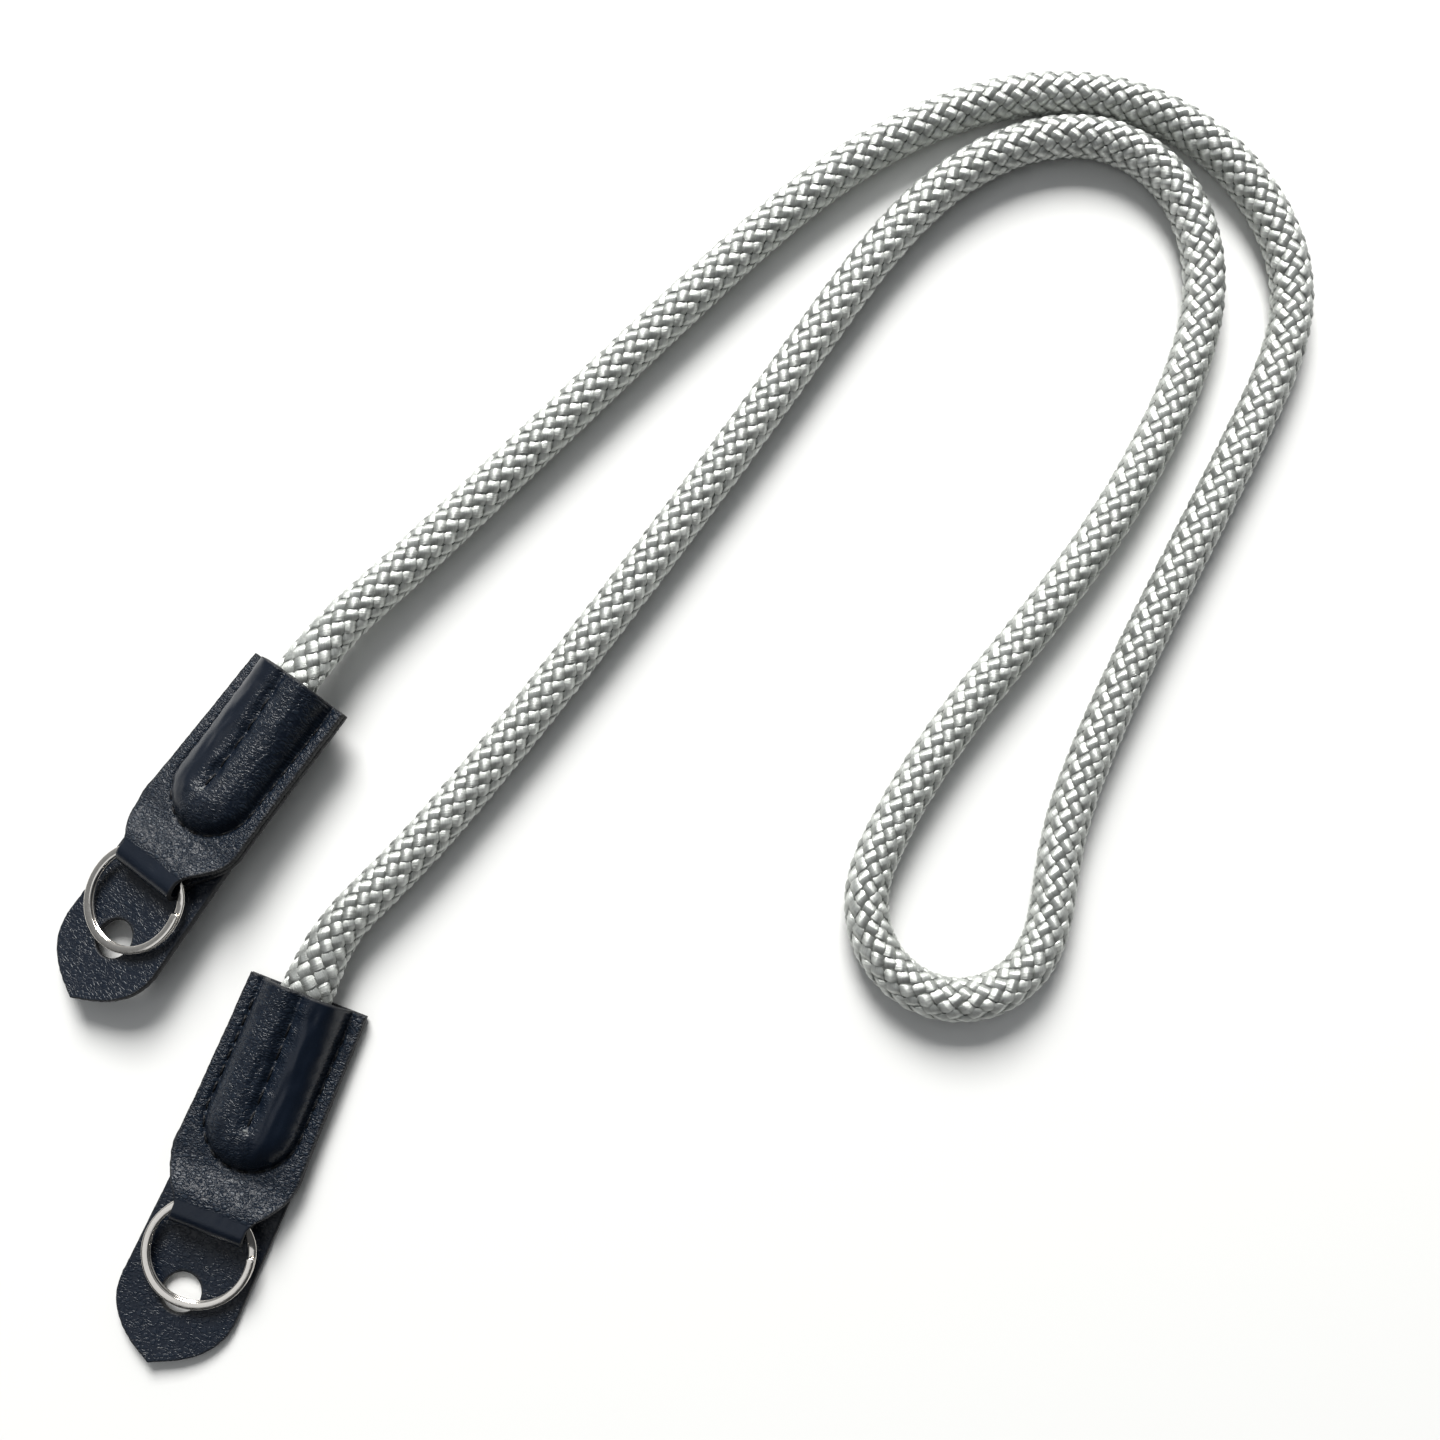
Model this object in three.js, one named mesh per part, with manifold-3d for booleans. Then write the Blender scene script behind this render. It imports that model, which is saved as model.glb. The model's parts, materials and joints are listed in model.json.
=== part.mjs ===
// Camera neck strap: a braided rope whose two flattened ends are sewn into leather end tabs.
// Each tab folds round a split ring, and a pointed leather flap with a hole lies behind the ring.
// Millimetres, +Z up, lying on the plane z = 0.

import * as THREE from "three";
import { mergeVertices } from "three/addons/utils/BufferGeometryUtils.js";
import Module from "manifold-3d";

const wasm = await Module();
wasm.setup();

// ---------- driving dimensions ----------

const ROPE_DIAMETER = 8.5;
const ROPE_SIDES = 10;
const ROPE_STEPS = 80;
const ROPE_LIES_AT = ROPE_DIAMETER / 2;

const LEATHER = 1.2; // one layer of the end tab
const SKIVED_LEATHER = 0.95; // the same layer, thinned where it folds round the ring
const TAB_LENGTH = 43; // from the ring's fold to the mouth that the rope enters
const TAB_HALF_WIDTH = 11.8; // at its widest
const FOLD_HALF_WIDTH = 6.8;
const TAB_LIFT = 2.12; // height of the tab's underside at its fold, above the flap's underside
const TAB_SLOPE = 0.041; // the tab comes down towards its mouth by this much a millimetre

const FLAP_THICKNESS = 1.4;
const FLAP_HALF_WIDTH = 11;
const FLAP_HOLE_RADIUS = 3.5;
const FLAP_HOLE_ALONG = -12.9;
const FLAP_TOP = 9; // the tucked end, sewn under the tab
const FLAP_SHOULDER = -13.5; // where the straight sides turn in towards the tip
const FLAP_TIP = -25.2;
const FLAP_TIP_HALF_WIDTH = 1.6; // of the blunt point
const FLAP_TIP_ROUND = 0.5; // how far the blunt point's middle stands before and behind its corners
const FLAP_CURVE = { down: 5, inward: 3, up: 3.2 }; // reach of the side curve's two handles
const FLAP_TOP_NARROWER = 0.4; // each side of the tucked end, against the flap's half width

const RING_OUTER_RADIUS = 10;
const WIRE_WIDTH = 1.45; // across the flat wire, in the ring's plane
const WIRE_THICKNESS = 0.6;
const WIRE_BEVEL = 0.18;
const COIL_PITCH = 0.8; // between the middles of the two coils
const RING_CENTRE_ALONG = -4.75;
const RING_CENTRE_HEIGHT = 3.65;
const RING_SLOPE = 0.115; // the ring drops from the fold to the flap by this much a millimetre

// The wire's turning in degrees: where it starts, how far it winds, and where it steps to the upper coil
const WINDING = { start: 64, whole: 672, stepFrom: 320, stepTo: 352 };
const RING_STEPS = 84;

// Slot through the folded end of the tab, in the tab's own frame
const SLOT = { back: -0.4, front: 6, low: SKIVED_LEATHER, high: SKIVED_LEATHER + 3 };

// The folded layer in front of the slot, from where its top turns down to where it is flush with the
// neck, as distances past the slot
const FOLD_STEP = { top: -0.6, brow: 1.2, face: 2.2, foot: 2.9, root: 4, faceHeight: 0.5 };

const CUT_PAST = 1; // how far a cut runs out beyond the piece it opens

// Where the two end assemblies lie: the fold's middle, the turn about +Z and the roll about the strap
const ENDS = [
  { suffix: "a", x: 1.86, y: -39.67, turn: -21.2, roll: 0, flapTurn: -2.5 },
  { suffix: "b", x: -9.48, y: 20.97, turn: -34.6, roll: 16, flapTurn: 1 },
];

// The end tab from its fold to its mouth: half the outline's width, the crest of the bulge over the
// rope's end, and the depth of the sewn valley along the middle
const TAB_SECTIONS = [
  { along: 2, halfWidth: 6.8, crest: 2.4, valley: 0 },
  { along: 3.5, halfWidth: 7.6, crest: 2.4, valley: 0 },
  { along: 5.5, halfWidth: 9.2, crest: 2.4, valley: 0 },
  { along: 7.5, halfWidth: 10.6, crest: 2.4, valley: 0 },
  { along: 9.5, halfWidth: 11.5, crest: 2.4, valley: 0 },
  { along: 11, halfWidth: TAB_HALF_WIDTH, crest: 3.2, valley: 0 },
  { along: 12.2, halfWidth: TAB_HALF_WIDTH, crest: 5.0, valley: 0 },
  { along: 14, halfWidth: 11.7, crest: 6.0, valley: 0.2 },
  { along: 17, halfWidth: 11.6, crest: 6.6, valley: 0.6 },
  { along: 20, halfWidth: 11.5, crest: 6.8, valley: 1.0 },
  { along: 28, halfWidth: 11.4, crest: 7.2, valley: 1.0 },
  { along: 34, halfWidth: 11.3, crest: 7.9, valley: 0.9 },
  { along: 39, halfWidth: 11.3, crest: 8.4, valley: 0.6 },
  { along: TAB_LENGTH, halfWidth: 11.2, crest: 9.2, valley: 0 },
];
const BULGE_HALF_WIDTH = 8.4;
const BULGE_END = 10.7; // where the rounded end of the bulge meets the flat neck
const BULGE_SHARPEST = 0.97; // how near to a point the bulge's rounded end is drawn
const BULGE_FULLNESS = 3; // 2 would be an elliptical arch, and more is a boxier one
const LEAST_FLANGE = 1;
const VALLEY_HALF_WIDTH = 1.3;

// Hollow that holds the rope's end, as half-ellipse sizes at distances from the fold
const POCKET_SECTIONS = [
  { along: 18, halfWidth: 5.4, height: 3.4 },
  { along: 20, halfWidth: 6.6, height: 3.8 },
  { along: 31, halfWidth: 6.6, height: 4.4 },
  { along: 35, halfWidth: 6.5, height: 5.1 },
  { along: TAB_LENGTH + CUT_PAST, halfWidth: 5.8, height: 6.4 },
];
const POCKET_SIDES = 20;

// How far the round rope is pressed flat near its ends: factors on its width and its height
const PRESSED_ROPE = [
  { along: 20, width: 1.42, height: 0.32 },
  { along: 32, width: 1.42, height: 0.37 },
  { along: TAB_LENGTH, width: 1.2, height: 0.6 },
  { along: TAB_LENGTH + 14, width: 1, height: 1 },
];

// The rope's route from the tab of end b to the tab of end a
const ROPE_ROUTE = [
  [1.4, 39, 7.5], [14, 57, 7.7], [22, 68.5, 6.9], [33.4, 78.8, 4.7],
  ...[
    [97.4, 145.3], [118.4, 162.8], [140.4, 174.3], [160.4, 178.1], [178.4, 175], [194.4, 164.3],
    [204.2, 147.8], [205.7, 131.3], [197.4, 112.3], [170.4, 63.6], [159.2, 39.8], [155.2, 27.8],
    [153.8, 17.5], [150.9, 6.2], [141.5, -1.1], [129.9, -1.1], [120.5, 6.2], [117.6, 17.5],
    [121.6, 28.3], [133.9, 48.6], [149.9, 67.1], [164.7, 86], [176.3, 105.3], [185.8, 125.8],
    [188.2, 142.3], [183.6, 158.4], [170.9, 168.4], [154.4, 168.2], [137.4, 159.6], [121.4, 142.8],
    [100.4, 110.7], [64.4, 61.3], [35.2, 24],
  ].map(([x, y]) => [x, y, ROPE_LIES_AT]),
  [22.5, 13.5, 4.4], [17.4, 0.5, 4.6], [9.5, -20.1, 4.5],
];

// ---------- materials ----------

const rope = new THREE.MeshStandardMaterial({ color: 0xc9cdc8, roughness: 0.6, metalness: 0 });
const leather = new THREE.MeshStandardMaterial({ color: 0x181c26, roughness: 0.5, metalness: 0 });
const steel = new THREE.MeshStandardMaterial({ color: 0xc9c2b6, roughness: 0.2, metalness: 1 });

// ---------- shape tools ----------

const radians = THREE.MathUtils.degToRad;

// Linear look-up of one column of a table whose rows go up in "along"
function column(rows, name, along) {
  const last = rows[rows.length - 1];
  if (along <= rows[0].along) return rows[0][name];
  if (along >= last.along) return last[name];
  const after = rows.findIndex((row) => row.along > along);
  const from = rows[after - 1];
  const to = rows[after];
  const part = (along - from.along) / (to.along - from.along);
  return THREE.MathUtils.lerp(from[name], to[name], part);
}

// Closed loft through rings of points that go clockwise as seen looking along +Y
function loft(rings) {
  const size = rings[0].length;
  const points = rings.flat();
  const triangles = [];
  for (let ring = 0; ring + 1 < rings.length; ring++) {
    for (let side = 0; side < size; side++) {
      const next = (side + 1) % size;
      const [a, b] = [ring * size + side, ring * size + next];
      const [c, d] = [b + size, a + size];
      triangles.push(a, b, c, a, c, d);
    }
  }
  const lastRing = (rings.length - 1) * size;
  const firstMiddle = points.length;
  points.push(middle(rings[0]), middle(rings[rings.length - 1]));
  for (let side = 0; side < size; side++) {
    const next = (side + 1) % size;
    triangles.push(firstMiddle, next, side);
    triangles.push(firstMiddle + 1, lastRing + side, lastRing + next);
  }
  const geometry = new THREE.BufferGeometry().setFromPoints(points);
  geometry.setIndex(triangles);
  return geometry;
}

function middle(points) {
  const sum = points.reduce((total, point) => total.add(point), new THREE.Vector3());
  return sum.divideScalar(points.length);
}

function toSolid(geometry) {
  const bare = geometry.clone();
  bare.deleteAttribute("normal");
  bare.deleteAttribute("uv");
  const merged = mergeVertices(bare);
  return new wasm.Manifold(new wasm.Mesh({
    numProp: 3,
    vertProperties: new Float32Array(merged.attributes.position.array),
    triVerts: new Uint32Array(merged.index.array),
  }));
}

function toGeometry(solid) {
  const mesh = solid.getMesh();
  const geometry = new THREE.BufferGeometry();
  geometry.setAttribute("position", new THREE.BufferAttribute(mesh.vertProperties, 3));
  geometry.setIndex(new THREE.BufferAttribute(mesh.triVerts, 1));
  geometry.computeVertexNormals();
  return geometry;
}

// Extrudes an outline drawn in the YZ plane across the strap, from -halfWidth to +halfWidth
function extrudeAcross(shape, halfWidth, curveSegments) {
  const geometry = new THREE.ExtrudeGeometry(shape, {
    depth: 2 * halfWidth, bevelEnabled: false, curveSegments,
  });
  const [across, along, up] = [
    new THREE.Vector3(1, 0, 0), new THREE.Vector3(0, 1, 0), new THREE.Vector3(0, 0, 1),
  ];
  geometry.applyMatrix4(new THREE.Matrix4().makeBasis(along, up, across));
  geometry.translate(-halfWidth, 0, 0);
  return geometry;
}

// ---------- end tab ----------

// Positions across the tab, as parts of the bulge's half width, with the flange outside them
const ACROSS_BULGE = [-1, -0.93, -0.8, -0.6, -0.4, -0.24, -0.1, 0, 0.1, 0.24, 0.4, 0.6, 0.8, 0.93, 1];

function bulgeHalfWidth(along) {
  const roundFrom = BULGE_END + BULGE_HALF_WIDTH;
  const short = THREE.MathUtils.clamp((roundFrom - along) / BULGE_HALF_WIDTH, 0, BULGE_SHARPEST);
  return BULGE_HALF_WIDTH * Math.sqrt(1 - short * short);
}

function tabRing({ along, halfWidth, crest, valley }) {
  const flange = 2 * LEATHER;
  const bulge = Math.min(bulgeHalfWidth(along), halfWidth - LEAST_FLANGE);
  const top = ACROSS_BULGE.map((part) => {
    const arch = Math.sqrt(1 - Math.abs(part) ** BULGE_FULLNESS);
    const dip = valley * Math.max(0, 1 - Math.abs(part * bulge) / VALLEY_HALF_WIDTH);
    return new THREE.Vector3(part * bulge, along, flange + (crest - flange) * arch - dip);
  });
  return [
    new THREE.Vector3(halfWidth, along, 0),
    new THREE.Vector3(-halfWidth, along, 0),
    new THREE.Vector3(-halfWidth, along, flange),
    ...top,
    new THREE.Vector3(halfWidth, along, flange),
  ];
}

function pocketRing({ along, halfWidth, height }) {
  const ring = [];
  for (let side = 0; side < POCKET_SIDES; side++) {
    const angle = (-2 * Math.PI * side) / POCKET_SIDES;
    ring.push(new THREE.Vector3(
      halfWidth * Math.cos(angle),
      along,
      LEATHER + (height / 2) * (1 + Math.sin(angle)),
    ));
  }
  return ring;
}

// Side view of the leather folded round the ring, and of the slot inside the fold
function foldOutline() {
  const top = SLOT.high + SKIVED_LEATHER;
  const back = SLOT.back - SKIVED_LEATHER;
  const round = top / 2;
  const neck = 2 * LEATHER;
  const { front } = SLOT;
  const shape = new THREE.Shape();
  shape.moveTo(front + FOLD_STEP.root, 0);
  shape.lineTo(back + round, 0);
  shape.absarc(back + round, round, round, 1.5 * Math.PI, 0.5 * Math.PI, true);
  shape.lineTo(front + FOLD_STEP.top, top);
  shape.quadraticCurveTo(
    front + FOLD_STEP.brow, top, front + FOLD_STEP.face, neck + FOLD_STEP.faceHeight,
  );
  shape.quadraticCurveTo(front + FOLD_STEP.foot, neck, front + FOLD_STEP.root, neck);
  return shape;
}

function slotOutline() {
  const round = (SLOT.high - SLOT.low) / 2;
  const centre = (SLOT.high + SLOT.low) / 2;
  const shape = new THREE.Shape();
  shape.absarc(SLOT.back + round, centre, round, 1.5 * Math.PI, 0.5 * Math.PI, true);
  shape.absarc(SLOT.front - round, centre, round, 0.5 * Math.PI, -0.5 * Math.PI, true);
  return shape;
}

function endTabGeometry() {
  const plate = toSolid(loft(TAB_SECTIONS.map(tabRing)));
  const fold = toSolid(extrudeAcross(foldOutline(), FOLD_HALF_WIDTH, 8));
  const slot = toSolid(extrudeAcross(slotOutline(), FOLD_HALF_WIDTH + CUT_PAST, 6));
  const pocket = toSolid(loft(POCKET_SECTIONS.map(pocketRing)));
  return toGeometry(plate.add(fold).subtract(slot).subtract(pocket));
}

// ---------- flap ----------

function flapGeometry() {
  const side = FLAP_HALF_WIDTH;
  const top = side - FLAP_TOP_NARROWER;
  const corner = [FLAP_TIP_HALF_WIDTH, FLAP_TIP + FLAP_TIP_ROUND];
  const upper = [side, FLAP_SHOULDER - FLAP_CURVE.down];
  const lower = [side - FLAP_CURVE.inward, FLAP_TIP + FLAP_CURVE.up];
  const mirrored = ([x, y]) => [-x, y];
  const shape = new THREE.Shape();
  shape.moveTo(top, FLAP_TOP);
  shape.lineTo(-top, FLAP_TOP);
  shape.lineTo(-side, FLAP_SHOULDER);
  shape.bezierCurveTo(...mirrored(upper), ...mirrored(lower), ...mirrored(corner));
  shape.quadraticCurveTo(0, FLAP_TIP - FLAP_TIP_ROUND, ...corner);
  shape.bezierCurveTo(...lower, ...upper, side, FLAP_SHOULDER);
  const hole = new THREE.Path();
  hole.absarc(0, FLAP_HOLE_ALONG, FLAP_HOLE_RADIUS, 0, 2 * Math.PI, false);
  shape.holes.push(hole);
  return new THREE.ExtrudeGeometry(shape, {
    depth: FLAP_THICKNESS, bevelEnabled: false, curveSegments: 12,
  });
}

// ---------- split ring ----------

// Flat wire wound almost twice round: it steps from the lower coil to the upper one in a short stretch
class SplitRingLine extends THREE.Curve {
  constructor() {
    super();
    this.radius = RING_OUTER_RADIUS - WIRE_WIDTH / 2;
  }

  getPoint(part, target = new THREE.Vector3()) {
    const wound = part * WINDING.whole;
    const rise = THREE.MathUtils.smoothstep(wound, WINDING.stepFrom, WINDING.stepTo);
    const angle = radians(WINDING.start + wound);
    return target.set(
      this.radius * Math.cos(angle),
      this.radius * Math.sin(angle),
      COIL_PITCH * (rise - 0.5),
    );
  }
}

// Section of the wire, with its edges bevelled. Its x runs along -Z and its y along the ring's radius.
function wireSection() {
  const [x, y] = [WIRE_THICKNESS / 2, WIRE_WIDTH / 2];
  const [flatX, flatY] = [x - WIRE_BEVEL, y - WIRE_BEVEL];
  return new THREE.Shape([
    [x, flatY], [flatX, y], [-flatX, y], [-x, flatY],
    [-x, -flatY], [-flatX, -y], [flatX, -y], [x, -flatY],
  ].map(([u, v]) => new THREE.Vector2(u, v)));
}

function splitRingGeometry() {
  return new THREE.ExtrudeGeometry(wireSection(), {
    extrudePath: new SplitRingLine(), steps: RING_STEPS, bevelEnabled: false,
  });
}

// ---------- rope ----------

// Uniform cubic B-spline: the route's points pull the line towards them, and it passes through the
// first and the last of them
class RouteLine extends THREE.Curve {
  constructor(points) {
    super();
    const [first, last] = [points[0], points[points.length - 1]];
    const before = first.clone().multiplyScalar(2).sub(points[1]);
    const after = last.clone().multiplyScalar(2).sub(points[points.length - 2]);
    this.points = [before, ...points, after];
  }

  getPoint(part, target = new THREE.Vector3()) {
    const spans = this.points.length - 3;
    const span = Math.min(Math.floor(part * spans), spans - 1);
    const t = part * spans - span;
    const weights = [
      (1 - t) ** 3, 3 * t ** 3 - 6 * t ** 2 + 4, -3 * t ** 3 + 3 * t ** 2 + 3 * t + 1, t ** 3,
    ];
    target.set(0, 0, 0);
    weights.forEach((weight, index) => target.addScaledVector(this.points[span + index], weight / 6));
    return target;
  }
}

// Presses the rope flat where it runs into a tab, about the nearest point of its centre line
function pressRopeEnd(geometry, centres, tabMatrix) {
  const toTab = tabMatrix.clone().invert();
  const position = geometry.attributes.position;
  const locals = centres.map((centre) => centre.clone().applyMatrix4(toTab));
  const point = new THREE.Vector3();
  for (let index = 0; index < position.count; index++) {
    point.fromBufferAttribute(position, index).applyMatrix4(toTab);
    const centre = locals.reduce((best, candidate) =>
      candidate.distanceToSquared(point) < best.distanceToSquared(point) ? candidate : best);
    const belongsToOtherStretch = Math.abs(centre.x) > TAB_HALF_WIDTH;
    if (belongsToOtherStretch) continue;
    point.x = centre.x + (point.x - centre.x) * column(PRESSED_ROPE, "width", centre.y);
    point.z = centre.z + (point.z - centre.z) * column(PRESSED_ROPE, "height", centre.y);
    point.applyMatrix4(tabMatrix);
    position.setXYZ(index, point.x, point.y, point.z);
  }
}

function ropeGeometry(tabMatrices) {
  const line = new RouteLine(ROPE_ROUTE.map((point) => new THREE.Vector3(...point)));
  const section = new THREE.Shape();
  for (let side = 0; side < ROPE_SIDES; side++) {
    const angle = (2 * Math.PI * side) / ROPE_SIDES;
    const [x, y] = [Math.cos(angle) * ROPE_DIAMETER / 2, Math.sin(angle) * ROPE_DIAMETER / 2];
    if (side === 0) section.moveTo(x, y);
    else section.lineTo(x, y);
  }
  const geometry = new THREE.ExtrudeGeometry(section, {
    extrudePath: line, steps: ROPE_STEPS, bevelEnabled: false,
  });
  const centres = line.getSpacedPoints(ROPE_STEPS);
  for (const matrix of tabMatrices) pressRopeEnd(geometry, centres, matrix);
  return geometry;
}

// ---------- assembly ----------

function named(name, geometry, material) {
  const mesh = new THREE.Mesh(geometry, material);
  mesh.name = name;
  return mesh;
}

// Ring, flap and tab of one end, as one group that lies, turns and rolls together
function endAssembly({ suffix, x, y, turn, roll, flapTurn }) {
  const tab = named(`end_tab_${suffix}`, endTabGeometry(), leather);
  tab.position.z = TAB_LIFT;
  tab.rotation.x = -Math.atan(TAB_SLOPE);

  const flap = named(`protector_flap_${suffix}`, flapGeometry(), leather);
  flap.rotation.z = radians(flapTurn);

  const ring = named(`split_ring_${suffix}`, splitRingGeometry(), steel);
  ring.position.set(0, RING_CENTRE_ALONG, RING_CENTRE_HEIGHT);
  ring.rotation.x = Math.atan(RING_SLOPE);

  const rolled = new THREE.Group();
  rolled.add(tab, flap, ring);
  rolled.rotation.y = -radians(roll);
  rolled.position.z = TAB_HALF_WIDTH * Math.sin(radians(roll));

  const lying = new THREE.Group();
  lying.add(rolled);
  lying.position.set(x, y, 0);
  lying.rotation.z = radians(turn);
  return { lying, tab };
}

const strap = new THREE.Group();
const ends = ENDS.map(endAssembly);
strap.add(...ends.map(({ lying }) => lying));
strap.updateMatrixWorld(true);
strap.add(named("rope", ropeGeometry(ends.map(({ tab }) => tab.matrixWorld)), rope));

export default strap;
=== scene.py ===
"""Camera neck strap: braided rope, two sewn leather end tabs, split rings and pointed leather flaps.

Local sizes are millimetres, and MM turns them into the scene's metres.
"""

import json
import math

import bmesh
import bpy
import numpy as np
from mathutils import Matrix, Vector, noise


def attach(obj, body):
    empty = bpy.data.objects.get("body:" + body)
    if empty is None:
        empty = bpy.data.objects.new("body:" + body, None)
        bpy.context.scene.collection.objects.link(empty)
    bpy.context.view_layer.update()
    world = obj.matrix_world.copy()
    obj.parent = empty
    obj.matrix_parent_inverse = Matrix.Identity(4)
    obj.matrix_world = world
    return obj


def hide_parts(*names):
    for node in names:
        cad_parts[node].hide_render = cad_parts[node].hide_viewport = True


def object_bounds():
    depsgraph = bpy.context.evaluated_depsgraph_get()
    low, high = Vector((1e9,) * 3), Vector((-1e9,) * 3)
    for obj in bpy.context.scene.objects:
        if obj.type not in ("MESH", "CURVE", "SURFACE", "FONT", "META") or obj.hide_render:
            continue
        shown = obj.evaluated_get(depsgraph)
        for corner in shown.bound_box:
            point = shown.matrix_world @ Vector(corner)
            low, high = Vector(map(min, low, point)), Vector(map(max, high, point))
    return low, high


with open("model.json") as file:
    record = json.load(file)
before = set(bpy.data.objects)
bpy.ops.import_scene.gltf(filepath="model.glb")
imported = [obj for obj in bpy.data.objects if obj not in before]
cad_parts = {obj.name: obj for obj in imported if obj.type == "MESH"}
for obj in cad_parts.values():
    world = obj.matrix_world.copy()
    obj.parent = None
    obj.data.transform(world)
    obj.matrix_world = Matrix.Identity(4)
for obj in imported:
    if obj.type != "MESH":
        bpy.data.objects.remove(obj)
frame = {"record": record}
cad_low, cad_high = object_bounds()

MM = 0.001
RANDOM = np.random.default_rng(8)

# ---------- sizes, in millimetres ----------

ROPE_DIAMETER = 8.5
ROPE_LIES_AT = ROPE_DIAMETER / 2
CORE_RADIUS = 3.75
BRAID_PITCH = 28.5
BRAID_RADIUS = 4.1  # where the strands' angle is measured
STRANDS_EACH_WAY = 8

TAB_LENGTH = 43.0
TAB_LIFT = 2.12
TAB_SLOPE = 0.041
LEATHER = 1.2
SKIVED_LEATHER = 0.95
BULGE_HALF_WIDTH = 8.4
BULGE_END = 10.7
SEAM_END = 17.8  # the middle seam's last stitch

FLAP_THICKNESS = 1.4
FLAP_HALF_WIDTH = 11.0
FLAP_HOLE_RADIUS = 3.5
FLAP_HOLE_ALONG = -12.9

RING_OUTER_RADIUS = 10.0
WIRE_WIDTH = 1.45
WIRE_THICKNESS = 0.6
COIL_PITCH = 0.8
RING_CENTRE_ALONG = -4.75
RING_CENTRE_HEIGHT = 3.65
RING_SLOPE = 0.115

# Turn of each end about +Z, and of its flap against it, in degrees
END_TURNS = {"a": -21.2, "b": -34.6}
FLAP_TURNS = {"a": -2.5, "b": 1.0}
FLAP_TIP_LIFTS = {"a": 0.9, "b": 0.5}
SMOOTH_SIDES = {"a": 1, "b": -1}  # the side of X on which the bulge's smooth lobe is
# Places in the noise, so that no two pieces of leather are alike
TAB_SEEDS = {"a": 3.0, "b": 11.0}
FLAP_SEEDS = {"a": 21.0, "b": 27.0}

# Half the tab's width at distances from its fold
TAB_WIDTHS = {
    "along": [2, 3.5, 5.5, 7.5, 9.5, 11, 12.2, 14, 17, 20, 28, 34, 39, 43],
    "half": [6.8, 7.6, 9.2, 10.6, 11.5, 11.8, 11.8, 11.7, 11.6, 11.5, 11.4, 11.3, 11.3, 11.2],
}
# Top of the bulge over the rope's end
BULGE_CRESTS = {
    "along": [10.7, 14, 17, 20, 28, 34, 39, 43],
    "height": [6.0, 6.3, 6.6, 6.8, 7.2, 7.9, 8.4, 9.2],
}
# Depth of the sewn valley along the middle
VALLEY_DEPTHS = {"along": [16.6, 18.6, 21, 34, 43], "depth": [0, 0.8, 1.35, 1.4, 1.0]}
# The rope's flattening towards its ends: factors on its width and height
PRESSED_ROPE = {
    "along": [20, 24, 32, 39, 43, 57],
    "width": [1.3, 1.42, 1.42, 1.28, 1.2, 1],
    "height": [0.14, 0.18, 0.22, 0.33, 0.46, 1],
}

# The rope's route from end b's tab to end a's tab, as it lies in the frame
ROPE_ROUTE = [
    (1.4, 39, 7.5), (14, 57, 7.7), (22, 68.5, 6.9), (33.4, 78.8, 4.7),
    *((x, y, ROPE_LIES_AT) for x, y in [
        (97.4, 145.3), (118.4, 162.8), (140.4, 174.3), (160.4, 178.1), (178.4, 175), (194.4, 164.3),
        (204.2, 147.8), (205.7, 131.3), (197.4, 112.3), (170.4, 63.6), (159.2, 39.8), (155.2, 27.8),
        (153.8, 17.5), (150.9, 6.2), (141.5, -1.1), (129.9, -1.1), (120.5, 6.2), (117.6, 17.5),
        (121.6, 28.3), (133.9, 48.6), (149.9, 67.1), (164.7, 86), (176.3, 105.3), (185.8, 125.8),
        (188.2, 142.3), (183.6, 158.4), (170.9, 168.4), (154.4, 168.2), (137.4, 159.6), (121.4, 142.8),
        (100.4, 110.7), (64.4, 61.3), (35.2, 24),
    ]),
    (22.5, 13.5, 4.4), (17.4, 0.5, 4.6), (9.5, -20.1, 4.5),
]


# ---------- shape tools ----------

def smoothstep(low, high, value):
    part = np.clip((value - low) / (high - low), 0, 1)
    return part * part * (3 - 2 * part)


def unit(vectors):
    return vectors / np.linalg.norm(vectors, axis=-1, keepdims=True)


def moved(matrix, points):
    """Points in millimetres, put through a 4 x 4 matrix whose translation is in millimetres."""
    matrix = np.array(matrix)
    return points @ matrix[:3, :3].T + matrix[:3, 3]


def make_object(name, points, faces, uv=None, attributes=None):
    """Smooth mesh object from points in millimetres, with UVs and attributes by point."""
    mesh = bpy.data.meshes.new(name)
    mesh.from_pydata((points * MM).tolist(), [], faces)
    mesh.polygons.foreach_set("use_smooth", [True] * len(mesh.polygons))
    corners = np.empty(len(mesh.loops), dtype=int)
    mesh.loops.foreach_get("vertex_index", corners)
    if uv is not None:
        mesh.uv_layers.new(name="along_and_across").data.foreach_set("uv", uv[corners].ravel())
    for key, values in (attributes or {}).items():
        mesh.attributes.new(key, "FLOAT", "POINT").data.foreach_set("value", values)
    mesh.update()
    made = bpy.data.objects.new(name, mesh)
    bpy.context.scene.collection.objects.link(made)
    return made


def grid_faces(rows, columns, first=0, flipped=False):
    """Quads of a grid of points, row by row."""
    row, column = np.meshgrid(np.arange(rows - 1), np.arange(columns - 1), indexing="ij")
    corner = first + row * columns + column
    quads = np.stack([corner, corner + 1, corner + columns + 1, corner + columns], -1).reshape(-1, 4)
    return quads[:, ::-1] if flipped else quads


def tube_faces(rings, sides):
    """Faces of a closed tube, which look outward where its sections run from its side to its up."""
    faces = []
    for start in range(0, (rings - 1) * sides, sides):
        for index in range(sides):
            after = (index + 1) % sides
            faces.append((start + index, start + sides + index, start + sides + after, start + after))
    last = (rings - 1) * sides
    faces.append(tuple(range(sides)))
    faces.append(tuple(range(last + sides - 1, last - 1, -1)))
    return faces


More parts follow.
